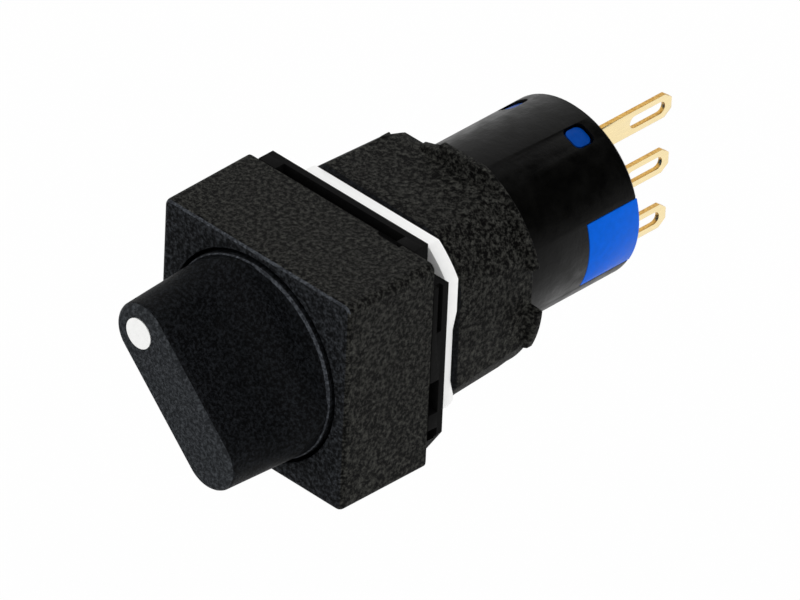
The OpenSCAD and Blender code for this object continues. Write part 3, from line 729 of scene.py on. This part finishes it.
class SWITCH_OT_knob(bpy.types.Operator):
    """Build the knob: disc, bar handle with rounded ends and scooped sides, and its hollow back"""
    bl_idname = "switch.knob"
    bl_label = "Knob"

    def execute(self, context):
        s = settings("knob")
        top = KNOB_LOW.y
        foot = top + s.handle_rise / MM
        rim = KNOB_HIGH.x
        half, reach = s.handle_width / MM / 2, s.handle_reach / MM
        edge, scoop, blend = s.handle_edge / MM, s.scoop / MM, s.blend / MM
        turn = math.radians(s.handle_angle)
        mid = foot - blend
        skirt = BEZEL_LOW.y + settings("bezel").well_depth / MM - s.skirt_gap / MM
        lean = 0.35
        edge_steps, blend_steps, rim_steps = 6, 12, 5

        def column(cut):
            """Offset and depth of the handle's side, which leans out from its front edge to the disc.

            The scoop is deepest half way and 0.6 times as deep near both ends.
            """
            arc = [(half - edge + edge * math.sin(a), top + edge * (1 - math.cos(a)))
                   for a in (math.pi / 2 * k / edge_steps for k in range(edge_steps))]
            less = cut * 0.6
            side = smooth_curve([(half, top + edge), (half + 0.1 - less, top + 2.2),
                                 (half + 0.2 - cut, (top + mid) / 2), (half + 0.3 - less, mid - 0.6),
                                 (half + lean, mid)])
            fillet = [(half + lean + blend * (1 - math.cos(a)), mid + blend * math.sin(a))
                      for a in (math.pi / 2 * k / blend_steps for k in range(1, blend_steps + 1))]
            return arc + side + fillet

        # Points round each end and along each side: base, direction outwards and depth of the scoop.
        stations = []
        nose, run = 30, 48
        for end in (1, -1):
            for k in range(nose):
                a = -math.pi / 2 + math.pi * k / nose
                stations.append((end * reach, 0, end * math.cos(a), end * math.sin(a), 0))
            for k in range(run):
                u = reach - 2 * reach * k / run
                ease = min(1.0, (reach - abs(u)) / (s.scoop_run / MM))
                cut = scoop * ease * ease * (3 - 2 * ease)
                stations.append((end * u, 0, 0, end, cut))
        columns = [column(cut) for _, _, _, _, cut in stations]
        # The handle's ends stay inside the disc, by less towards its foot.
        end_room, end_flare = 0.75, 0.6
        rings = []
        for level in range(len(columns[0])):
            ring = []
            for (bu, bv, du, dv, _), col in zip(stations, columns):
                offset, y = col[level]
                u, v = bu + du * offset, bv + dv * offset
                limit = rim - end_room + end_flare * (y - top + 1) / (foot - top + 2)
                far = math.hypot(u, v)
                if far > limit:
                    u, v = u * limit / far, v * limit / far
                ring.append((u, y, v))
            rings.append(ring)
        around = [math.atan2(p[2], p[0]) for p in rings[-1]]
        edge_radius = [math.hypot(p[0], p[2]) for p in rings[-1]]

        def circle(radius, y):
            return [(radius * math.cos(a), y, radius * math.sin(a)) for a in around]

        def outer_circle(radius, y):
            """A circle that stays 0.02 mm outside the handle's foot."""
            return [(max(radius, r + 0.02) * math.cos(a), y, max(radius, r + 0.02) * math.sin(a))
                    for a, r in zip(around, edge_radius)]

        rounding, nip = 0.4, 0.1
        rings.append(outer_circle(rim - rounding, foot))
        for k in range(1, rim_steps + 1):
            a = math.pi / 2 * k / rim_steps
            rings.append(outer_circle(rim - rounding + rounding * math.sin(a),
                                      foot + rounding * (1 - math.cos(a))))
        # The back: skirt, hollow, hub with the seal's groove, and the bore for the rotor's stem.
        inside = rim - s.wall / MM
        hollow = foot + 1.9
        hub, groove, bore, bore_floor = 5.0, 3.8, 2.55, -10
        groove_front, groove_rear = SEAL_MIDDLE - 0.65, SEAL_MIDDLE + 0.65
        rings += [circle(rim, skirt - nip), circle(rim - nip, skirt), circle(inside, skirt),
                  circle(inside, hollow), circle(hub, hollow), circle(hub, groove_front),
                  circle(groove, groove_front), circle(groove, groove_rear), circle(hub, groove_rear),
                  circle(hub, KNOB_HIGH.y), circle(bore, KNOB_HIGH.y), circle(bore, bore_floor)]

        def turned(p):
            """From the handle's own directions to the switch's."""
            return (p[0] * math.cos(turn) - p[2] * math.sin(turn), p[1],
                    p[0] * math.sin(turn) + p[2] * math.cos(turn))

        bm = bmesh.new()
        rows = loft(bm, [[turned(p) for p in ring] for ring in rings])
        bm.faces.new(rows[-1])
        # Front strip with the pocket of the dot.
        centre = (DOT_LOW + DOT_HIGH) / 2
        dot_gap, chamfer, depth, around_dot = 0.03, 0.06, 1, 48
        radius = (DOT_HIGH.x - DOT_LOW.x) / 2 + dot_gap
        turns = [2 * math.pi * k / around_dot for k in range(around_dot)]
        steps = ((radius + chamfer, top), (radius, top + chamfer), (radius, top + depth))
        walls = loft(bm, [[(centre.x + r * math.cos(a), y, centre.z + r * math.sin(a)) for a in turns]
                          for r, y in steps])
        bm.faces.new(walls[-1])
        bm.edges.ensure_lookup_table()
        loops = [bm.edges.get((row[i], row[(i + 1) % len(row)])) for row in (rows[0], walls[0])
                 for i in range(len(row))]
        bmesh.ops.triangle_fill(bm, use_beauty=True, use_dissolve=False, edges=loops)
        # The knob is painted near black as painted shade, with a painted sheen on the front strip and a
        # painted highlight on the disc's rounded rim.
        obj = to_object("knob_moulding", bm, "painted_shade_black")
        paint_faces(obj, "painted_sheen_black", lambda centre, _: centre.y < top + edge / 2)
        paint_faces(obj, "painted_highlight_black", lambda centre, _: foot < centre.y < foot + rounding / 2)
        settle(obj, "knob")
        return {"FINISHED"}


class SWITCH_OT_dot(bpy.types.Operator):
    """Give the position dot in the handle its white finish"""
    bl_idname = "switch.dot"
    bl_label = "Position dot"

    def execute(self, context):
        dress_node("indicator_dot", "white_plastic")
        return {"FINISHED"}


def add_node(tree, kind, **inputs):
    """A node with its sockets filled: a socket is linked, anything else is a default value."""
    node = tree.nodes.new(kind)
    for name, value in inputs.items():
        socket = node.inputs[name.replace("_", " ")]
        if isinstance(value, bpy.types.NodeSocket):
            tree.links.new(value, socket)
        else:
            socket.default_value = value
    return node


def maths(tree, operation, first, second):
    node = tree.nodes.new("ShaderNodeMath")
    node.operation = operation
    for socket, value in zip(node.inputs, (first, second)):
        if isinstance(value, bpy.types.NodeSocket):
            tree.links.new(value, socket)
        else:
            socket.default_value = value
    return node.outputs["Value"]


def close_tree(tree, geometry, material):
    """Realizes, paints and sends out the geometry."""
    real = add_node(tree, "GeometryNodeRealizeInstances", Geometry=geometry)
    paint = add_node(tree, "GeometryNodeSetMaterial", Geometry=real.outputs["Geometry"],
                     Material=material)
    out = tree.nodes.new("NodeGroupOutput")
    tree.links.new(paint.outputs["Geometry"], out.inputs["Geometry"])


def coil_tree():
    """A round wire wound evenly along Z, measured to the middle of the wire."""
    tree = bpy.data.node_groups.new("wire_coil", "GeometryNodeTree")
    for name in ("Radius", "Wire", "Turns", "Length"):
        tree.interface.new_socket(name, in_out="INPUT", socket_type="NodeSocketFloat")
    tree.interface.new_socket("Finish", in_out="INPUT", socket_type="NodeSocketMaterial")
    tree.interface.new_socket("Geometry", in_out="OUTPUT", socket_type="NodeSocketGeometry")
    given = tree.nodes.new("NodeGroupInput")
    spiral = add_node(tree, "GeometryNodeCurveSpiral", Resolution=28, Rotations=given.outputs["Turns"],
                      Start_Radius=given.outputs["Radius"], End_Radius=given.outputs["Radius"],
                      Height=given.outputs["Length"])
    wire = add_node(tree, "GeometryNodeCurvePrimitiveCircle", Resolution=12,
                    Radius=given.outputs["Wire"])
    sweep = add_node(tree, "GeometryNodeCurveToMesh", Curve=spiral.outputs["Curve"],
                     Profile_Curve=wire.outputs["Curve"], Fill_Caps=True)
    close_tree(tree, sweep.outputs["Mesh"], given.outputs["Finish"])
    return tree


def thread_tree():
    """A pointed ridge that climbs round a core along Z, cut by a keyway on the side of -Y."""
    tree = bpy.data.node_groups.new("thread_ridge", "GeometryNodeTree")
    for name in ("Core radius", "Pitch", "Depth", "Length", "Keyway"):
        tree.interface.new_socket(name, in_out="INPUT", socket_type="NodeSocketFloat")
    tree.interface.new_socket("Finish", in_out="INPUT", socket_type="NodeSocketMaterial")
    tree.interface.new_socket("Geometry", in_out="OUTPUT", socket_type="NodeSocketGeometry")
    given = tree.nodes.new("NodeGroupInput").outputs
    spiral = add_node(tree, "GeometryNodeCurveSpiral", Resolution=72,
                      Rotations=maths(tree, "DIVIDE", given["Length"], given["Pitch"]),
                      Start_Radius=given["Core radius"], End_Radius=given["Core radius"],
                      Height=given["Length"])
    upright = add_node(tree, "GeometryNodeSetCurveNormal", Curve=spiral.outputs["Curve"])
    upright.mode = "Z_UP"
    point = add_node(tree, "GeometryNodeCurvePrimitiveCircle", Resolution=4, Radius=given["Depth"])
    sweep = add_node(tree, "GeometryNodeCurveToMesh", Curve=upright.outputs["Curve"],
                     Profile_Curve=point.outputs["Curve"], Fill_Caps=True)
    room = tree.nodes.new("ShaderNodeCombineXYZ")
    reach = maths(tree, "MULTIPLY", given["Core radius"], 1.5)
    height = maths(tree, "MULTIPLY", given["Length"], 3.0)
    for axis, size in (("X", given["Keyway"]), ("Y", reach), ("Z", height)):
        tree.links.new(size, room.inputs[axis])
    block = add_node(tree, "GeometryNodeMeshCube", Size=room.outputs["Vector"])
    shift = tree.nodes.new("ShaderNodeCombineXYZ")
    tree.links.new(maths(tree, "MULTIPLY", reach, -0.6), shift.inputs["Y"])
    moved = add_node(tree, "GeometryNodeTransform", Geometry=block.outputs["Mesh"],
                     Translation=shift.outputs["Vector"])
    cut = tree.nodes.new("GeometryNodeMeshBoolean")
    cut.operation = "DIFFERENCE"
    cut.solver = "EXACT"
    tree.links.new(sweep.outputs["Mesh"], cut.inputs["Mesh 1"])
    tree.links.new(moved.outputs["Geometry"], cut.inputs["Mesh 2"])
    close_tree(tree, cut.outputs["Mesh"], given["Finish"])
    return tree


def grown(name, tree, values):
    """Runs a tree with the given inputs and returns the result as a plain mesh."""
    obj = bpy.data.objects.new(name, bpy.data.meshes.new(name))
    bpy.context.scene.collection.objects.link(obj)
    modifier = obj.modifiers.new(name, "NODES")
    modifier.node_group = tree
    ids = {item.name: item.identifier for item in tree.interface.items_tree if item.in_out == "INPUT"}
    for key, value in values.items():
        modifier[ids[key]] = value
    return baked(obj)


class SWITCH_OT_springs(bpy.types.Operator):
    """Wind the return spring and the detent spring as round wire"""
    bl_idname = "switch.springs"
    bl_label = "Springs"

    def execute(self, context):
        s = settings("springs")
        tree = coil_tree()
        wire = s.return_wire
        length = (SPRING_HIGH.y - SPRING_LOW.y) * MM
        radius = (SPRING_HIGH.x - SPRING_LOW.x) * MM / 2 - wire
        name, mesh = grown("return_spring_wire", tree, {
            "Radius": radius, "Wire": wire, "Turns": s.return_turns, "Length": length - 2 * wire,
            "Finish": finish("steel")})
        centre = (SPRING_LOW + SPRING_HIGH) / 2 * MM
        mesh.transform(Matrix.Translation((centre.x, SPRING_LOW.y * MM + wire, centre.z))
                       @ Matrix.Rotation(-math.pi / 2, 4, "X"))
        spring = settle(mesh_object(name, mesh, "steel"), "return_spring")
        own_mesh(spring)

        # The detent spring lies across the rotor, on the line between its two balls.
        wire = s.detent_wire
        centre = (DETENT_LOW + DETENT_HIGH) / 2 * MM
        name, mesh = grown("detent_spring_wire", tree, {
            "Radius": s.detent_radius, "Wire": wire, "Turns": s.detent_turns,
            "Length": s.detent_length - 2 * wire, "Finish": finish("steel")})
        mesh.transform(Matrix.Translation(centre) @ Matrix.Rotation(math.pi / 4, 4, "Y")
                       @ Matrix.Translation((0, 0, wire - s.detent_length / 2)))
        settle(mesh_object(name, mesh, "steel"), "detent_spring")
        return {"FINISHED"}


class SWITCH_OT_sleeve(bpy.types.Operator):
    """Ease the operator body's edges and cut the thread into its sleeve"""
    bl_idname = "switch.sleeve"
    bl_label = "Operator body and thread"

    def execute(self, context):
        s = settings("thread")
        crest, core = s.radius / MM, (s.radius - s.depth) / MM
        flange_rear, near = GASKET_LOW.y - 0.05, 0.005

        def turn_down(bm):
            """Brings the sleeve's plain surface down to the thread's core."""
            for vert in bm.verts:
                x, y, z = vert.co / MM
                if abs(math.hypot(x, z) - crest) < near and y > flange_rear:
                    vert.co.x *= core / crest
                    vert.co.z *= core / crest

        body = eased_copy("operator_body", "operator_moulding", "smooth_black", 0.08,
                          change=turn_down)
        paint_faces(body, "black_rubber", lambda centre, _: centre.y < 0)
        # The ridge's crest stays just inside the sleeve's full radius.
        name, mesh = grown("sleeve_thread", thread_tree(), {
            "Core radius": s.radius - s.depth, "Pitch": s.pitch, "Depth": s.depth * 0.98,
            "Length": s.length - 2 * s.depth, "Keyway": s.keyway, "Finish": finish("smooth_black")})
        # The ridge climbs along Z with its keyway towards -Y: it is laid along +Y, keyway down.
        mesh.transform(Matrix.Translation((0, 1.2 * s.depth, 0)) @ Matrix.Rotation(math.pi, 4, "Y")
                       @ Matrix.Rotation(-math.pi / 2, 4, "X"))
        ridge = mesh_object(name, mesh, "smooth_black", 20)
        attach(ridge, body_of_node("operator_body"))
        return {"FINISHED"}


class SWITCH_OT_gasket(bpy.types.Operator):
    """Give the gasket and the shaft seal their rubber finish"""
    bl_idname = "switch.gasket"
    bl_label = "Gasket and seal"

    def execute(self, context):
        dress_node("panel_gasket", "black_rubber")
        dress_node("shaft_seal_ring", "black_rubber")
        return {"FINISHED"}


class SWITCH_OT_plate(bpy.types.Operator):
    """Ease the edges of the white anti-rotation plate"""
    bl_idname = "switch.plate"
    bl_label = "Anti-rotation plate"

    def execute(self, context):
        eased_copy("anti_rotation_plate", "locking_plate_moulding", "white_plastic", 0.1)
        return {"FINISHED"}


class SWITCH_OT_nut(bpy.types.Operator):
    """Ease the edges of the lock nut and grain it"""
    bl_idname = "switch.nut"
    bl_label = "Lock nut"

    def execute(self, context):
        s = settings("nut")
        rim = NUT_HIGH.y - s.rim_length / MM
        # Directions in degrees, from +X towards +Z.
        spans = ((97, 112, s.lug_radius / MM), (300, 334, s.low_radius / MM))
        corner, fade_from, corner_end, corner_radius = 118, 130, 150, 11
        front_band = 0.45

        def trim(bm):
            """Lowers two stretches of the wrench rim and raises the upper left corner."""
            for vert in bm.verts:
                radius = math.hypot(vert.co.x, vert.co.z) / MM
                angle = math.degrees(math.atan2(vert.co.z, vert.co.x)) % 360
                on_rim = vert.co.y / MM > rim
                if corner < angle < corner_end and radius > corner_radius and not on_rim:
                    share = min(1, (corner_end - angle) / (corner_end - fade_from))
                    grow = 1 + s.corner_lift / MM / radius * share
                    vert.co.x *= grow
                    vert.co.z *= grow
                for first, last, limit in spans:
                    if first < angle < last and radius > limit and on_rim:
                        vert.co.x *= limit / radius
                        vert.co.z *= limit / radius

        nut = eased_copy("lock_nut", "lock_nut_moulding", "grained_black", 0.12,
                         clamp=False, change=trim)
        # The nut's front band is painted near black: painted shade.
        paint_faces(nut, "painted_shade_black", lambda centre, _: centre.y < NUT_LOW.y + front_band)
        return {"FINISHED"}


class SWITCH_OT_block(bpy.types.Operator):
    """Ease the edges of the contact housing and its blue terminal base"""
    bl_idname = "switch.block"
    bl_label = "Contact block"

    def execute(self, context):
        eased_copy("contact_housing", "contact_housing_moulding", "smooth_black", 0.08)
        base = eased_copy("terminal_base", "terminal_base_moulding", "blue_plastic", 0.06)
        # The latches stand above and below the barrel's notch, and ahead of the base's rear face; their
        # darker blue is painted shade.
        rear, latch_height = BASE_HIGH.y - 1, 5
        paint_faces(base, "latch_painted_shade_blue",
                    lambda centre, _: centre.y < rear and abs(centre.z) > latch_height)
        return {"FINISHED"}


class SWITCH_OT_terminals(bpy.types.Operator):
    """Ease the punched edges of the three gold-plated terminals"""
    bl_idname = "switch.terminals"
    bl_label = "Terminals"

    def execute(self, context):
        for place in ("upper", "middle", "lower"):
            node = "terminal_" + place
            tab = eased_copy(node, node + "_tab", "gold_plate", 0.05)
            paint_faces(tab, "punched_edge", lambda _, normal: abs(normal.x) < 0.5)
        return {"FINISHED"}


class SWITCH_OT_inner_parts(bpy.types.Operator):
    """Give the mechanism's plastic and metal pieces their finishes"""
    bl_idname = "switch.inner_parts"
    bl_label = "Mechanism"

    def execute(self, context):
        for node, material in (("cam_rotor", "natural_plastic"), ("plunger", "natural_plastic"),
                               ("rotor_retaining_ring", "steel"), ("detent_ball_a", "steel"),
                               ("detent_ball_b", "steel"), ("rocking_contact", "spring_bronze"),
                               ("moving_rivet_upper", "silver_contact"),
                               ("moving_rivet_lower", "silver_contact"),
                               ("fixed_rivet_upper", "silver_contact"),
                               ("fixed_rivet_lower", "silver_contact")):
            dress_node(node, material)
        return {"FINISHED"}


class SWITCH_OT_stage(bpy.types.Operator):
    """Set the floor, the soft light and the camera of the product picture"""
    bl_idname = "switch.stage"
    bl_label = "Stage"

    def execute(self, context):
        s = settings("stage")
        scene = context.scene
        scene.view_settings.view_transform = "Standard"
        az, el = math.radians(s.azimuth), math.radians(s.elevation)
        right = Vector((math.cos(az), math.sin(az), 0))
        back = Vector((math.sin(az) * math.cos(el), -math.cos(az) * math.cos(el), math.sin(el)))
        up = back.cross(right)
        roll = math.radians(s.roll)
        side = right * math.cos(roll) + up * math.sin(roll)
        rise = up * math.cos(roll) - right * math.sin(roll)
        data = bpy.data.cameras.new("picture_camera")
        data.sensor_width = SENSOR_WIDTH
        data.lens = s.scale * s.distance / MM * SENSOR_WIDTH / PICTURE_WIDTH
        data.shift_x = (PICTURE_WIDTH / 2 - s.origin_x) / PICTURE_WIDTH
        data.shift_y = (s.origin_y - PICTURE_HEIGHT / 2) / PICTURE_WIDTH
        data.clip_end = 10
        camera = bpy.data.objects.new("picture_camera", data)
        camera.matrix_world = Matrix.Translation(back * s.distance) @ Matrix(
            (side, rise, back)).transposed().to_4x4()
        scene.collection.objects.link(camera)
        scene.camera = camera

        self.build_world(scene, s)
        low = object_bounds()[0]
        self.build_floor(scene, s, low[2] - s.floor_drop)
        # Black cards that only the gloss sees: below at the front left, and above at the back right.
        self.build_card(scene, "front_card", s.front_card, Vector(s.front_card_place))
        self.build_card(scene, "rear_card", s.rear_card, Vector(s.rear_card_place))
        lamp_data = bpy.data.lights.new("soft_lamp", "AREA")
        lamp_data.shape = "DISK"
        lamp_data.size = s.lamp_size
        lamp_data.energy = s.lamp
        lamp = bpy.data.objects.new("soft_lamp", lamp_data)
        lamp.matrix_world = self.facing_origin(Vector(s.lamp_place))
        scene.collection.objects.link(lamp)
        return {"FINISHED"}

    def facing_origin(self, place):
        """The pose of a thing at that place whose -Z looks at the switch."""
        return Matrix.Translation(place) @ place.to_track_quat("Z", "Y").to_matrix().to_4x4()

    def seen_rays(self, tree):
        """1 for the rays by which the camera, gloss and glass see the background."""
        path = tree.nodes.new("ShaderNodeLightPath")
        both = maths(tree, "MAXIMUM", path.outputs["Is Camera Ray"], path.outputs["Is Glossy Ray"])
        return maths(tree, "MAXIMUM", both, path.outputs["Is Transmission Ray"])

    def build_world(self, scene, s):
        """Soft light all round that shows as plain white."""
        world = bpy.data.worlds.new("studio")
        scene.world = world
        world.use_nodes = True
        tree = world.node_tree
        tree.nodes.clear()
        soft = tree.nodes.new("ShaderNodeBackground")
        soft.inputs["Strength"].default_value = s.light
        plain = tree.nodes.new("ShaderNodeBackground")
        for node in (soft, plain):
            node.inputs["Color"].default_value = (1, 1, 1, 1)
        mix = tree.nodes.new("ShaderNodeMixShader")
        out = tree.nodes.new("ShaderNodeOutputWorld")
        tree.links.new(self.seen_rays(tree), mix.inputs[0])
        tree.links.new(soft.outputs[0], mix.inputs[1])
        tree.links.new(plain.outputs[0], mix.inputs[2])
        tree.links.new(mix.outputs[0], out.inputs["Surface"])

    def disc(self, scene, name, radius, material, place):
        """A flat round stage piece."""
        bm = bmesh.new()
        bmesh.ops.create_circle(bm, cap_ends=True, radius=radius, segments=64, matrix=place)
        mesh = bpy.data.meshes.new(name)
        bm.to_mesh(mesh)
        bm.free()
        mesh.materials.append(material)
        obj = bpy.data.objects.new(name, mesh)
        scene.collection.objects.link(obj)
        obj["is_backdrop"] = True
        return obj

    def build_card(self, scene, name, radius, centre):
        """A black card that faces the switch and is seen only in its gloss."""
        material = new_finish(name, (0.01, 0.01, 0.01), 0.9, specular=0.0)[0]
        card = self.disc(scene, name, radius, material, self.facing_origin(centre))
        card.visible_camera = False
        card.visible_diffuse = False
        card.visible_shadow = False

    def build_floor(self, scene, s, height):
        """A round pale floor that shows nearly white and keeps a faint shadow."""
        material, tree, shader, _ = new_finish("pale_floor", s.floor_colour, 0.9, specular=0.1)
        plain = tree.nodes.new("ShaderNodeEmission")
        plain.inputs["Color"].default_value = (1, 1, 1, 1)
        mix = tree.nodes.new("ShaderNodeMixShader")
        share = maths(tree, "MULTIPLY", self.seen_rays(tree), s.floor_white)
        tree.links.new(share, mix.inputs[0])
        tree.links.new(shader.outputs[0], mix.inputs[1])
        tree.links.new(plain.outputs[0], mix.inputs[2])
        tree.links.new(mix.outputs[0], tree.nodes["Material Output"].inputs["Surface"])
        self.disc(scene, "floor", s.floor_radius, material, Matrix.Translation((0, 0, height)))


PIECES = (SWITCH_OT_bezel, SWITCH_OT_knob, SWITCH_OT_dot, SWITCH_OT_sleeve, SWITCH_OT_gasket,
          SWITCH_OT_plate, SWITCH_OT_nut, SWITCH_OT_block, SWITCH_OT_terminals, SWITCH_OT_springs,
          SWITCH_OT_inner_parts, SWITCH_OT_stage)
GROUPS = {"stage": StageSettings, "finish": FinishSettings, "bezel": BezelSettings,
          "knob": KnobSettings, "thread": ThreadSettings, "nut": NutSettings, "springs": SpringSettings}


class SWITCH_PT_panel(bpy.types.Panel):
    """The switch's pieces, in the order in which they are built"""
    bl_label = "Rotary switch"
    bl_idname = "SWITCH_PT_panel"
    bl_space_type = "VIEW_3D"
    bl_region_type = "UI"
    bl_category = "Switch"

    def draw(self, context):
        column = self.layout.column(align=True)
        for piece in PIECES:
            column.operator(piece.bl_idname, text=piece.bl_label)
        for name in GROUPS:
            box = self.layout.box()
            group = settings(name)
            for key in group.bl_rna.properties.keys():
                if key not in ("rna_type", "name"):
                    box.prop(group, key)


def register():
    for name, group in GROUPS.items():
        bpy.utils.register_class(group)
        setattr(bpy.types.Scene, "switch_" + name, bpy.props.PointerProperty(type=group))
    for piece in PIECES:
        bpy.utils.register_class(piece)
    bpy.utils.register_class(SWITCH_PT_panel)


def unregister():
    bpy.utils.unregister_class(SWITCH_PT_panel)
    for piece in reversed(PIECES):
        bpy.utils.unregister_class(piece)
    for name, group in reversed(GROUPS.items()):
        delattr(bpy.types.Scene, "switch_" + name)
        bpy.utils.unregister_class(group)


def main():
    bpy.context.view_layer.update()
    register()
    for piece in PIECES:
        group, name = piece.bl_idname.split(".")
        getattr(getattr(bpy.ops, group), name)()


if __name__ == "__main__":
    main()
